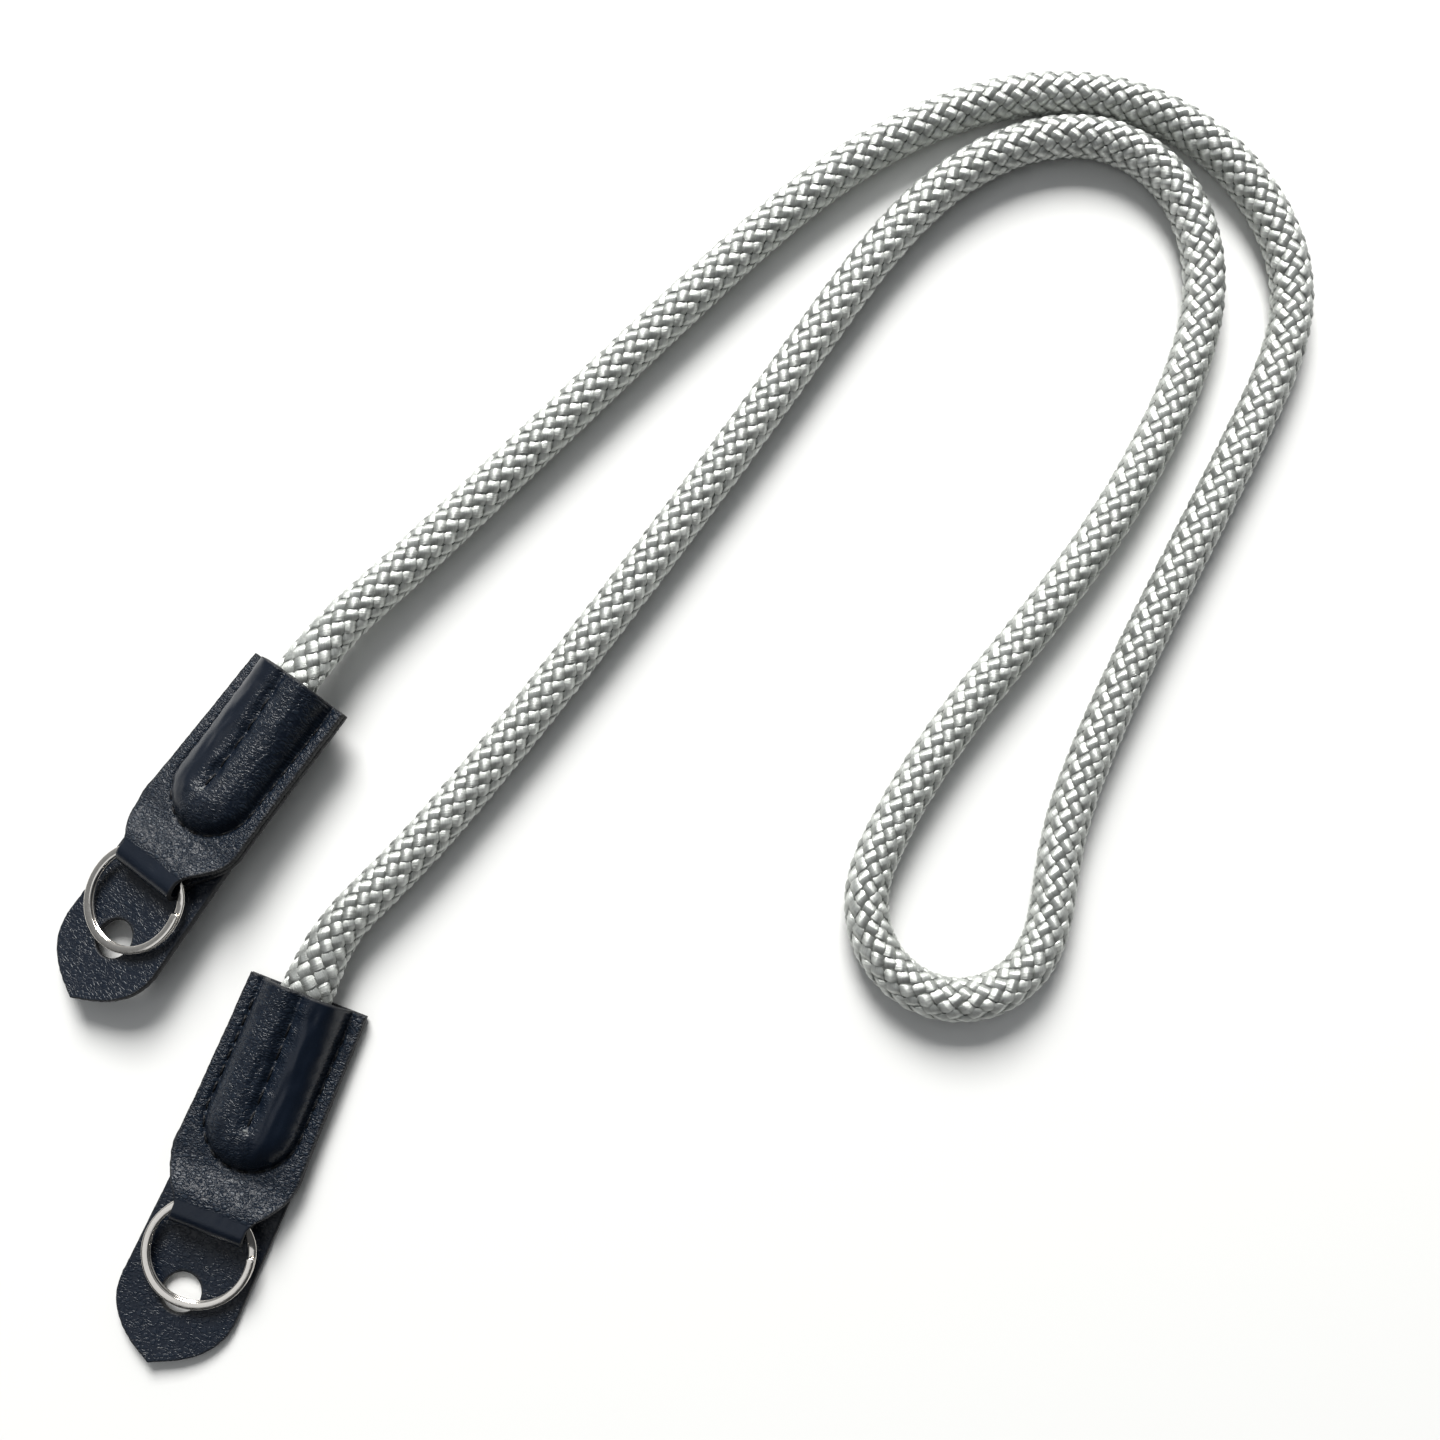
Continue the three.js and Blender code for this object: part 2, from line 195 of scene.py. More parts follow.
def tube(points, side, up, half_width, half_height, sides):
    """Closed tube through points, with round sections of the given half sizes."""
    angle = 2 * np.pi * np.arange(sides) / sides
    across = side[:, None] * (np.cos(angle) * half_width[:, None])[..., None]
    rise = up[:, None] * (np.sin(angle) * half_height[:, None])[..., None]
    sections = points[:, None] + across + rise
    return sections.reshape(-1, 3), tube_faces(len(points), sides)


# ---------- where the ends lie ----------

mounts = {mount["name"]: mount for mount in frame["record"]["mounts"]}


def end_matrix(end):
    """Frame of an end: x across, y towards the mouth and z up from the flap's back."""
    mount = mounts[f"flap_{end}_back"]
    turn = math.radians(END_TURNS[end])
    along = Vector((-math.sin(turn), math.cos(turn), 0))
    up = -Vector(mount["axis"]).normalized()
    across = along.cross(up)
    matrix = Matrix((across, along, up)).transposed().to_4x4()
    matrix.translation = Vector(mount["pos_m"]) / MM
    return matrix


def tab_matrix(end):
    pitch = Matrix.Rotation(-math.atan(TAB_SLOPE), 4, "X")
    return end_matrix(end) @ Matrix.Translation((0, 0, TAB_LIFT)) @ pitch


def flap_matrix(end):
    return end_matrix(end) @ Matrix.Rotation(math.radians(FLAP_TURNS[end]), 4, "Z")


def ring_matrix(end):
    place = Matrix.Translation((0, RING_CENTRE_ALONG, RING_CENTRE_HEIGHT))
    return end_matrix(end) @ place @ Matrix.Rotation(math.atan(RING_SLOPE), 4, "X")


# ---------- camera ----------

CAMERA_PLACE = (0.0784, 0.014765, 0.281)
CAMERA_TURN = (7.373, -2.76, 0)  # degrees about X, Y and Z
CAMERA_LENS = 37.5
CAMERA_SENSOR = 36


def add_camera():
    data = bpy.data.cameras.new("camera")
    data.lens = CAMERA_LENS
    data.sensor_width = CAMERA_SENSOR
    data.clip_start = 0.01
    camera = bpy.data.objects.new("camera", data)
    camera.location = CAMERA_PLACE
    camera.rotation_euler = [math.radians(turn) for turn in CAMERA_TURN]
    bpy.context.scene.collection.objects.link(camera)
    bpy.context.scene.camera = camera


# ---------- materials ----------

# Linear colours
YARN_STREAK, YARN_PALE = (0.42, 0.436, 0.415, 1), (0.95, 0.97, 0.935, 1)
# The second colour here is painted shade: the darkened colour of the floats where they dive under
YARN_TONED, YARN_PAINTED_SHADE = (0.30, 0.313, 0.296, 1), (0.09, 0.095, 0.088, 1)
# The rope's core is painted near black, as the shade that lies between the floats
CORE_SHADE_DARK, CORE_SHADE_LIGHT = (0.05, 0.055, 0.05, 1), (0.12, 0.125, 0.117, 1)
LEATHER_DARK, LEATHER_LIGHT = (0.002, 0.0046, 0.0105, 1), (0.0034, 0.007, 0.015, 1)
LEATHER_PEBBLES = (0.009, 0.0155, 0.026, 1)
CUT_DARK, CUT_LIGHT = (0.004, 0.005, 0.007, 1), (0.022, 0.023, 0.026, 1)
THREAD_DARK, THREAD_LIGHT = (0.002, 0.002, 0.003, 1), (0.006, 0.0065, 0.008, 1)
# The pale thread colour is a painted highlight, on the stitch that ends the middle seam
THREAD_PAINTED_HIGHLIGHT = (0.16, 0.17, 0.17, 1)
STEEL_DULL, STEEL_BRIGHT = (0.72, 0.68, 0.63, 1), (0.86, 0.82, 0.77, 1)
FLOOR_COLOUR = (0.79, 0.79, 0.78, 1)

# Shares of the darker colours in the yarn: its random tone, and the painted shade where the floats dive under
TONE_SHARE = 0.3
PAINTED_SHADE_SHARE = 0.62
STREAKS_APART = 40.0  # in the noise, so that each float has its own streaks


class Shader:
    """One node material with a Principled shader, and short calls to add nodes to it."""

    def __init__(self, name, **settings):
        self.material = bpy.data.materials.new(name)
        self.material.use_nodes = True
        self.tree = self.material.node_tree
        self.principled = self.tree.nodes["Principled BSDF"]
        self.set(self.principled, settings)

    def set(self, node, inputs):
        for key, value in inputs.items():
            socket = node.inputs[key]
            if isinstance(value, bpy.types.NodeSocket):
                self.tree.links.new(value, socket)
            else:
                socket.default_value = value

    def node(self, kind, inputs=None, **settings):
        made = self.tree.nodes.new(f"ShaderNode{kind}")
        for key, value in settings.items():
            setattr(made, key, value)
        self.set(made, inputs or {})
        return made

    def math(self, operation, *values):
        made = self.node("Math", operation=operation)
        self.set(made, dict(enumerate(values)))
        return made.outputs[0]

    def ramp(self, value, low, high, to_low=0.0, to_high=1.0):
        made = self.node("MapRange", interpolation_type="SMOOTHSTEP")
        self.set(made, {0: value, 1: low, 2: high, 3: to_low, 4: to_high})
        return made.outputs[0]

    def mix(self, share, first, second):
        made = self.node("Mix", data_type="RGBA")
        self.set(made, {0: share, 6: first, 7: second})
        return made.outputs[2]

    def attribute(self, name):
        return self.node("Attribute", attribute_name=name).outputs["Fac"]

    def millimetres(self):
        """Object coordinates in millimetres."""
        place = self.node("TexCoord").outputs["Object"]
        scale = self.node("VectorMath", {0: place, 1: (1 / MM,) * 3}, operation="MULTIPLY")
        return scale.outputs[0]

    def noise(self, vector, scale, detail=2.0, roughness=0.5):
        inputs = {"Vector": vector, "Scale": scale, "Detail": detail, "Roughness": roughness}
        return self.node("TexNoise", inputs).outputs["Fac"]

    def bump(self, height, distance_mm, strength=1.0, normal=None):
        made = self.node("Bump", {"Height": height, "Distance": distance_mm * MM, "Strength": strength})
        if normal is not None:
            self.set(made, {"Normal": normal})
        return made.outputs[0]


def yarn_material():
    """Silver-grey satin filament yarn: its gloss spreads across the fibres and is narrow along them. Its
    colour has shade painted in where the floats dive under.
    """
    shader = Shader("rope_yarn", Metallic=0.84, Anisotropic=0.65)
    shader.set(shader.principled, {"Anisotropic Rotation": 0.25, "Specular IOR Level": 0.6})
    uv = shader.node("TexCoord").outputs["UV"]
    tone = shader.attribute("tone")
    shifted = shader.node("CombineXYZ", {"Z": shader.math("MULTIPLY", tone, STREAKS_APART)}).outputs[0]

    def streaks(along, across):
        """Noise drawn out along the fibres, from its scales along and across them."""
        stretched = shader.node("VectorMath", {0: uv, 1: (along, across, 1.0)}, operation="MULTIPLY")
        place = shader.node("VectorMath", {0: stretched.outputs[0], 1: shifted}, operation="ADD")
        return shader.noise(place.outputs[0], 1.0, 3.0, 0.6)

    plies, fibres = streaks(0.45, 4.0), streaks(0.9, 14.0)
    relief = shader.math("MULTIPLY_ADD", fibres, 0.4, plies)
    pale = shader.mix(plies, YARN_STREAK, YARN_PALE)
    toned = shader.mix(shader.math("MULTIPLY", tone, TONE_SHARE), pale, YARN_TONED)
    # Painted shade: a darker colour where the floats dive under the crossing strands
    painted_shade = shader.math("MULTIPLY", shader.attribute("shade_mask"), PAINTED_SHADE_SHARE)
    shader.set(shader.principled, {
        "Base Color": shader.mix(painted_shade, toned, YARN_PAINTED_SHADE),
        "Roughness": shader.ramp(fibres, 0.3, 0.7, 0.42, 0.54),
        "Tangent": shader.node("Tangent", direction_type="UV_MAP", uv_map="along_and_across").outputs[0],
        "Normal": shader.bump(relief, 0.16, 0.8),
    })
    return shader.material


def core_material():
    """The rope's inside, seen only between the floats, and painted near black as the shade there."""
    shader = Shader("rope_inside_painted_shade", Roughness=0.8)
    speck = shader.noise(shader.millimetres(), 3.0, 3.0)
    shader.set(shader.principled, {
        "Base Color": shader.mix(speck, CORE_SHADE_DARK, CORE_SHADE_LIGHT),
        "Normal": shader.bump(speck, 0.2, 0.6),
    })
    return shader.material


def leather_material():
    """Near-black blue leather: wrinkled grain by the grain attribute, raw cut edges by the edge one."""
    shader = Shader("leather")
    place = shader.node("TexCoord").outputs["UV"]
    warp = shader.node("TexNoise", {"Vector": place, "Scale": 0.9, "Detail": 3.0}).outputs["Color"]
    warped = shader.node("VectorMath", {0: warp, 1: (1.3, 1.3, 0.0), 2: place}, operation="MULTIPLY_ADD")
    wrinkled = shader.node("VectorMath", {0: warped.outputs[0], 1: (0.95, 1.75, 1.0)}, operation="MULTIPLY")
    cells = shader.node("TexVoronoi", {"Vector": wrinkled.outputs[0], "Scale": 1.0, "Randomness": 1.0},
                        feature="DISTANCE_TO_EDGE")
    pebbles = shader.ramp(cells.outputs["Distance"], 0.0, 0.3)
    fine = shader.noise(place, 4.5, 4.0, 0.65)
    broad = shader.noise(place, 0.16, 2.0)
    grain = shader.attribute("grain")
    edge = shader.attribute("edge")
    relief = shader.math("MULTIPLY", grain, shader.math("MULTIPLY_ADD", fine, 0.55, pebbles))
    smooth_colour = shader.mix(broad, LEATHER_DARK, LEATHER_LIGHT)
    crest_colour = shader.mix(pebbles, smooth_colour, LEATHER_PEBBLES)
    worn = shader.mix(grain, smooth_colour, crest_colour)
    raw = shader.mix(fine, CUT_DARK, CUT_LIGHT)
    calm = shader.math("MULTIPLY_ADD", broad, 0.06, 0.28)
    shader.set(shader.principled, {
        "Base Color": shader.mix(edge, worn, raw),
        "Roughness": shader.math("MULTIPLY_ADD", edge, 0.3, calm),
        "Specular IOR Level": 0.36,
        "Normal": shader.bump(relief, 0.13, 1.0),
    })
    return shader.material


def thread_material():
    """Black waxed thread with its twist, and a pale painted highlight where its attribute says."""
    shader = Shader("sewing_thread", Roughness=0.5)
    shader.set(shader.principled, {"Specular IOR Level": 0.3})
    uv = shader.node("TexCoord").outputs["UV"]
    bands = {"Vector": uv, "Scale": 2.6, "Distortion": 0.4}
    twist = shader.node("TexWave", bands, bands_direction="DIAGONAL")
    black = shader.mix(twist.outputs["Fac"], THREAD_DARK, THREAD_LIGHT)
    shader.set(shader.principled, {
        "Base Color": shader.mix(shader.attribute("painted_highlight"), black, THREAD_PAINTED_HIGHLIGHT),
        "Normal": shader.bump(twist.outputs["Fac"], 0.06, 0.8),
    })
    return shader.material


def ring_material():
    """Polished nickel-plated steel, with faint wear in its gloss."""
    shader = Shader("ring_steel", Metallic=1.0)
    wear = shader.noise(shader.millimetres(), 1.5, 4.0, 0.7)
    shader.set(shader.principled, {
        "Base Color": shader.mix(wear, STEEL_DULL, STEEL_BRIGHT),
        "Roughness": shader.ramp(wear, 0.35, 0.7, 0.10, 0.2),
    })
    return shader.material


def floor_material():
    shader = Shader("pale_floor", Roughness=0.75)
    shader.set(shader.principled, {"Base Color": FLOOR_COLOUR, "Specular IOR Level": 0.15})
    return shader.material


# ---------- rope ----------

def b_spline(points, steps):
    """Uniform cubic B-spline that passes through the first and the last point."""
    points = np.array(points, dtype=float)
    before, after = 2 * points[0] - points[1], 2 * points[-1] - points[-2]
    points = np.vstack([before, points, after])
    t = (np.arange(steps) / steps)[:, None]
    weights = ((1 - t) ** 3, 3 * t ** 3 - 6 * t ** 2 + 4, -3 * t ** 3 + 3 * t ** 2 + 3 * t + 1, t ** 3)
    spans = [sum(w * points[i + k] for k, w in enumerate(weights)) / 6 for i in range(len(points) - 3)]
    return np.vstack([*spans, (points[-3] + 4 * points[-2] + points[-1]) / 6])


class RopeLine:
    """The rope's centre line with its side and up directions and its flattening, by length along it."""

    STEP = 0.5
    ROUTE_STEPS = 60  # points of the spline to one span of the route
    UNTWIST = 26  # length past a mouth over which the tab's tilt leaves the rope

    def __init__(self):
        dense = b_spline(ROPE_ROUTE, self.ROUTE_STEPS)
        run = np.concatenate([[0], np.cumsum(np.linalg.norm(np.diff(dense, axis=0), axis=1))])
        self.length = run[-1]
        self.at = np.linspace(0, self.length, int(self.length / self.STEP) + 1)
        self.centre = np.stack([np.interp(self.at, run, dense[:, axis]) for axis in range(3)], -1)
        tangent = unit(np.gradient(self.centre, axis=0))
        up = np.tile([0.0, 0.0, 1.0], (len(self.at), 1))
        self.width = np.ones(len(self.at))
        self.height = np.ones(len(self.at))
        self.mouths = []
        for end, near in (("b", self.at < self.length / 2), ("a", self.at >= self.length / 2)):
            matrix = tab_matrix(end)
            along = moved(matrix.inverted(), self.centre)[:, 1]
            tab_up = np.array(matrix)[:3, 2]
            share = 1 - smoothstep(TAB_LENGTH, TAB_LENGTH + self.UNTWIST, along[near])
            up[near] += share[:, None] * (tab_up - up[near])
            self.width[near] = np.interp(along[near], PRESSED_ROPE["along"], PRESSED_ROPE["width"])
            self.height[near] = np.interp(along[near], PRESSED_ROPE["along"], PRESSED_ROPE["height"])
            from_mouth = np.abs(along - TAB_LENGTH) + np.where(near, 0, self.length)
            self.mouths.append(self.at[np.argmin(from_mouth)])
        self.side = unit(np.cross(tangent, up))
        self.up = np.cross(self.side, tangent)

    def place(self, along, angle, radius):
        """Points at lengths along the rope, at angles round it and at distances from its middle."""
        def look(values):
            if values.ndim == 1:
                return np.interp(along, self.at, values)
            return np.stack([np.interp(along, self.at, values[:, axis]) for axis in range(3)], -1)

        across = (np.cos(angle) * radius * look(self.width))[..., None] * look(self.side)
        rise = (np.sin(angle) * radius * look(self.height))[..., None] * look(self.up)
        return look(self.centre) + across + rise


FLOAT_ALONG = np.array([-1.8, -1.38, -0.16, 0.16, 1.38, 1.8])
FLOAT_ACROSS = np.array([-1.27, -1.2, -0.95, 0, 0.95, 1.2, 1.27])
FLOAT_SLOPE = 0.36  # of a float's two halves, each down to where the next strand crosses it
FLOAT_RIDGE = 0.12  # how round it is between them
FLOAT_ROUNDNESS = 0.5  # height of the squarish arch that the bundle of filaments forms
FLOAT_ARCH_HALF = 1.3
FLOAT_RIM_DROP = 0.2  # of its rim, below the arch
FLOAT_RIM_DEPTH = 0.85  # the least that its rim goes into the rope
FLOAT_DEEPEST = 1.25
# Where painted shade darkens a float as it dives under the crossing strand: distances from its middle, and
# the share at its sides
SHADE_ALONG = (0.6, 1.8)
SHADE_ACROSS = (0.9, 1.25)
SHADE_AT_SIDES = 0.8
# Spreads of the random draws, so that no two floats are alike
FLOAT_WANDER = 0.045
FLOAT_LEAN = 0.03  # radians
FLOAT_WIDENING = 0.025  # share of the width
FLOAT_SUNK = 0.05
HIDDEN_BRAID = 5  # how far the braid goes on inside each tab's mouth


def float_relief():
    """Height of a float's points against the rope's outer radius."""
    arch = FLOAT_SLOPE * (np.hypot(FLOAT_ALONG, FLOAT_RIDGE) - FLOAT_RIDGE)
    rounding = FLOAT_ROUNDNESS * (1 - np.sqrt(1 - (FLOAT_ACROSS / FLOAT_ARCH_HALF) ** 4))
    relief = -(arch[:, None] + rounding[None, :])
    rim = np.zeros_like(relief, dtype=bool)
    rim[[0, -1], :] = True
    rim[:, [0, -1]] = True
    relief[rim] = np.minimum(relief[rim] - FLOAT_RIM_DROP, -FLOAT_RIM_DEPTH)
    return np.maximum(relief, -FLOAT_DEEPEST)


def float_faces():
    """A float's top as a grid of quads, closed below by one face round its rim."""
    rows, columns = len(FLOAT_ALONG), len(FLOAT_ACROSS)
    top = [tuple(quad) for quad in grid_faces(rows, columns, flipped=True)]
    rim = [*range(columns)]
    rim += [row * columns + columns - 1 for row in range(1, rows)]
    rim += [(rows - 1) * columns + column for column in range(columns - 2, -1, -1)]
    rim += [row * columns for row in range(rows - 2, 0, -1)]
    return top, tuple(rim)


def float_centres(line, handed):
    """Lengths along the rope and angles round it where the strands of one hand come to the top."""
    row_step = BRAID_PITCH / (2 * STRANDS_EACH_WAY)
    first = math.ceil((line.mouths[0] - HIDDEN_BRAID) / row_step)
    last = math.floor((line.mouths[1] + HIDDEN_BRAID) / row_step)
    parity = 0 if handed < 0 else 1
    centres = [
        (row * row_step, math.pi * column / STRANDS_EACH_WAY)
        for column in range(parity, 2 * STRANDS_EACH_WAY, 2)
        for row in range(first, last + 1) if row % 2 == parity
    ]
    return np.array(centres)


def braid_floats(line, handed):
    """All floats of the strands that wind one way (handed 1) or the other (-1), as one mesh."""
    centres = float_centres(line, handed)
    count = len(centres)
    tilt = math.atan(2 * math.pi * BRAID_RADIUS / BRAID_PITCH)
    lengthwise, crosswise = np.meshgrid(FLOAT_ALONG, FLOAT_ACROSS, indexing="ij")
    lengthwise, crosswise = lengthwise.ravel(), crosswise.ravel()
    wander = RANDOM.normal(0, FLOAT_WANDER, (count, 2))
    lean = tilt + RANDOM.normal(0, FLOAT_LEAN, count)
    cos, sin = np.cos(lean)[:, None], np.sin(lean)[:, None]
    width = (1 + RANDOM.normal(0, FLOAT_WIDENING, count))[:, None] * crosswise
    along = centres[:, :1] + lengthwise * cos - handed * width * sin
    round_by = handed * lengthwise * sin + width * cos
    angle = centres[:, 1:] + (round_by + wander[:, :1]) / BRAID_RADIUS
    sunk = np.abs(RANDOM.normal(0, FLOAT_SUNK, count))[:, None]
    radius = ROPE_DIAMETER / 2 + float_relief().ravel() - sunk
    points = line.place(along + wander[:, 1:], angle, radius).reshape(-1, 3)

    top, bottom = float_faces()
    size = len(lengthwise)
    faces = [
        tuple(start + corner for corner in face)
        for start in range(0, count * size, size) for face in (*top, bottom)
    ]
    uv = np.tile(np.stack([lengthwise, crosswise], -1), (count, 1))
    tone = np.repeat(RANDOM.random(count), size)
    # Mask of the painted shade: full past the ridge towards the float's ends, and partly at its sides
    past_ridge = smoothstep(*SHADE_ALONG, np.abs(lengthwise))
    near_sides = SHADE_AT_SIDES * smoothstep(*SHADE_ACROSS, np.abs(crosswise))
    shade_mask = np.tile(np.maximum(past_ridge, near_sides), count)
    return points, faces, uv, {"tone": tone, "shade_mask": shade_mask}


CORE_EVERY = 4  # steps of the rope's line to one section of its core
CORE_SIDES = 16


def add_rope():
    line = RopeLine()
    every = slice(None, None, CORE_EVERY)
    radius = np.full(len(line.at[every]), CORE_RADIUS)
    points, faces = tube(line.centre[every], line.side[every], line.up[every],
                         radius * line.width[every], radius * line.height[every], CORE_SIDES)
    core = make_object("rope_core", points, faces)
    core.data.materials.append(core_material())
    yarn = yarn_material()
    strands = []
    for name, handed in (("rope_strands_right", -1), ("rope_strands_left", 1)):
        strand = make_object(name, *braid_floats(line, handed))
        strand.data.materials.append(yarn)
        strands.append(strand)
    for piece in (core, *strands):
        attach(piece, "root")
        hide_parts("rope")
    mouth = line.place(np.array(line.mouths[0]), np.array(0.0), np.array(0.0)) * MM


# ---------- leather ----------

EDGE_ROUND = 0.14  # how far in from a cut edge the leather has its full thickness
EDGE_STEPS = np.array([0, 0.012, 0.05, EDGE_ROUND])


def edge_share(distance):
    """Share of the leather's thickness at a distance from its cut edge."""
    part = np.clip(distance / EDGE_ROUND, 0, 1)
    return np.sqrt(1 - (1 - part) ** 2)


def slab(name, outer, normal, thickness, share, uv, attributes, ring_shaped=False):
    """Closed sheet of leather from a grid of points on its outer face, thinned to nothing at its rim.

    A ring-shaped one has its first and last column in the same place, which close_seam merges.
    """
    rows, columns = outer.shape[:2]
    middle = outer - normal * (thickness / 2)[..., None]
    half = normal * (thickness / 2 * share)[..., None]
    front = (middle + half).reshape(-1, 3)
    back = (middle - half).reshape(-1, 3)
    faces = np.vstack([grid_faces(rows, columns), grid_faces(rows, columns, rows * columns, True)])
    on_rim = np.zeros((rows, columns), dtype=bool)
    on_rim[[0, -1], :] = True
    if not ring_shaped:
        on_rim[:, [0, -1]] = True
    target = np.arange(2 * rows * columns)
    target[rows * columns:][on_rim.ravel()] -= rows * columns
    faces = target[faces]
    used = np.unique(faces)
    renumber = np.zeros(2 * rows * columns, dtype=int)
    renumber[used] = np.arange(len(used))
    points = np.vstack([front, back])[used]
    values = {key: np.concatenate([value.ravel(), value.ravel()])[used] for key, value in attributes.items()}
    both_sides = np.vstack([uv.reshape(-1, 2), uv.reshape(-1, 2)])[used]
    return make_object(name, points, renumber[faces].tolist(), uv=both_sides, attributes=values)


# Outer face of the fold, in the tab's own side view
FOLD_RADIUS = 2.45
FOLD_MIDDLE = 1.1
FOLD_TOP = 2 * FOLD_RADIUS
FOLD_FALL = (3.8, 9.8)  # where the folded layer comes down to the neck
TOP_STEP = 0.34  # between the top layer's stations
BOTTOM_STATIONS = 34
TURN_STATIONS = 22
TAB_COLUMNS = 81
RUN_COLUMN = 40  # near the middle, where lengths along the strip are taken
SMOOTHING_PASSES = 10  # before the direction of the leather's thickness is taken
SKIVED_TO = (6, 9)  # distances from the fold over which the leather gets its full thickness
LAYER_FREE = 0.03  # what each layer leaves free, so that the two don't touch
CUT_EDGE = (0.1, 0.3)  # distances from a cut edge over which its raw look ends
EDGE_WANDER = 0.09  # of the cut long edges
EDGE_WAVES = 0.9  # scale of the noise for it
LONG_EDGES_FROM = 0.9  # share of the half width
FLAT_CREASES = 0.05
ROPE_CREASES = 0.16  # more than the flat ones, where the leather is over the rope
CREASED_WITHIN = 4  # of the bulge's middle line, where these are full
CREASE_WAVES = 0.55  # scale of the noise for them
CREASE_STRETCH = (1.3, 0.5, 0.3)
CREASE_SEED = 5  # against the tab's own
SEAM_OFFSET = 0.5  # of the seam, outside the bulge's foot
SEAM_PITCH = 3.1
MIDDLE_PITCH = 4.1

# Profiles across the tab's top: depths or shares of them, and where they lie or how wide they are
BULGE_POWERS = (3, 0.6)  # of its rounded section, with steep sides and a broad crest
GROOVE = {"depth": 0.42, "more_at_holes": 0.16, "outside_foot": 0.35, "width": 0.5}
PULL = {"depth": 0.13, "inside_foot": 0.8, "width": 0.8}  # on the bulge's foot, at the seam's holes
VALLEY = {"sharp_share": 0.62, "sharp_width": 0.95, "sharp_power": 1.6, "soft_share": 0.38, "soft_width": 2.6}
PINCH = {"share": 0.22, "width": 1.5}  # in the valley, at the middle seam's holes

# Where the grain fades: ranges of distances, from the bulge's middle line unless they say otherwise
LOBE_FADE = (9, 7)
LOBE_SIDE_FADE = (0.5, 3.5)  # across, from the tab's middle
STRETCH_FADE = (8.8, 6.5)
FOLD_FADE = (2.6, 3.5)  # along, from the fold
LOBE_LOSS = 0.6  # shares of the grain that are lost there
STRETCH_LOSS = 0.4
LEAST_GRAIN = 0.05


def bulge_distance(x, y):
    """Distance from the bulge's middle line or the middle of its round end."""
    short = np.minimum(y - (BULGE_END + BULGE_HALF_WIDTH), 0)
    return np.hypot(x, short)


def seam_phase(x, y):
    """Length along the U-shaped seam, counted from the middle of its round end."""
    radius = BULGE_HALF_WIDTH + SEAM_OFFSET
    rise = y - (BULGE_END + BULGE_HALF_WIDTH)
    turned = radius * np.arctan2(np.abs(x), np.maximum(-rise, 1e-6))
    return np.where(rise > 0, radius * np.pi / 2 + rise, turned)


def sewn(phase, pitch):
    """1 at a seam's holes, which are between its stitches, and 0 at the stitches' middles."""
    return 0.5 + 0.5 * np.cos(2 * np.pi * phase / pitch)


def tab_top(x, y):
    """Height of the tab's top face."""
    neck = 2 * LEATHER
    distance = bulge_distance(x, y)
    from_foot = distance - BULGE_HALF_WIDTH
    inside = np.clip(distance / BULGE_HALF_WIDTH, 0, 1)
    crest = np.interp(y, BULGE_CRESTS["along"], BULGE_CRESTS["height"]) - neck
    inner_power, outer_power = BULGE_POWERS
    bulge = crest * (1 - inside ** inner_power) ** outer_power
    at_holes = sewn(seam_phase(x, y), SEAM_PITCH)
    groove_depth = GROOVE["depth"] + GROOVE["more_at_holes"] * at_holes
    groove = groove_depth * np.exp(-((from_foot - GROOVE["outside_foot"]) / GROOVE["width"]) ** 2)
    pull = PULL["depth"] * at_holes * np.exp(-((from_foot + PULL["inside_foot"]) / PULL["width"]) ** 2)
    depth = np.interp(y, VALLEY_DEPTHS["along"], VALLEY_DEPTHS["depth"])
    sharp = VALLEY["sharp_share"] * np.exp(-np.abs(x / VALLEY["sharp_width"]) ** VALLEY["sharp_power"])
    soft = VALLEY["soft_share"] * np.exp(-((x / VALLEY["soft_width"]) ** 2))
    valley = depth * (sharp + soft)
    pinched = sewn(y - SEAM_END, MIDDLE_PITCH) * np.exp(-((x / PINCH["width"]) ** 2))
    pinch = PINCH["share"] * depth * pinched
    fall = 1 - smoothstep(*FOLD_FALL, y)
    return neck + (FOLD_TOP - neck) * fall + bulge - groove - pull - valley - pinch


def tab_rows():
    """Stations along the leather strip: y, height (worked out later on the top layer) and layer.

    They run from the bottom layer's mouth (layer -1) round the fold (0) to the top layer's mouth (1).
    """
    to_mouth = TAB_LENGTH - EDGE_STEPS
    bottom = np.concatenate([to_mouth, np.linspace(TAB_LENGTH - 1, FOLD_MIDDLE + 0.4, BOTTOM_STATIONS)])
    turn = np.linspace(0, np.pi, TURN_STATIONS)
    top = np.concatenate([np.arange(FOLD_MIDDLE + 0.3, TAB_LENGTH - 0.4, TOP_STEP), to_mouth[::-1]])
    y = np.concatenate([bottom, FOLD_MIDDLE - FOLD_RADIUS * np.sin(turn), top])
    height = np.concatenate([0 * bottom, FOLD_RADIUS * (1 - np.cos(turn)), 0 * top])
    layer = np.repeat([-1.0, 0.0, 1.0], [len(bottom), len(turn), len(top)])
    return y, height, layer


def tab_columns():
    """Places across the tab, from -1 to 1, with the last ones close to the cut edges."""
    inner = np.linspace(-1, 1, TAB_COLUMNS)[2:-2]
    steps = EDGE_STEPS / TAB_WIDTHS["half"][-1]
    return np.concatenate([-1 + steps, inner, 1 - steps[::-1]])


def wandering(points, scale, seed):
    """Smooth noise at points, from -1 to 1."""
    flat = points.reshape(-1, 3)
    values = [noise.noise(Vector(point) * scale + Vector((seed, 0, 0))) for point in flat]
    return np.array(values).reshape(points.shape[:-1])


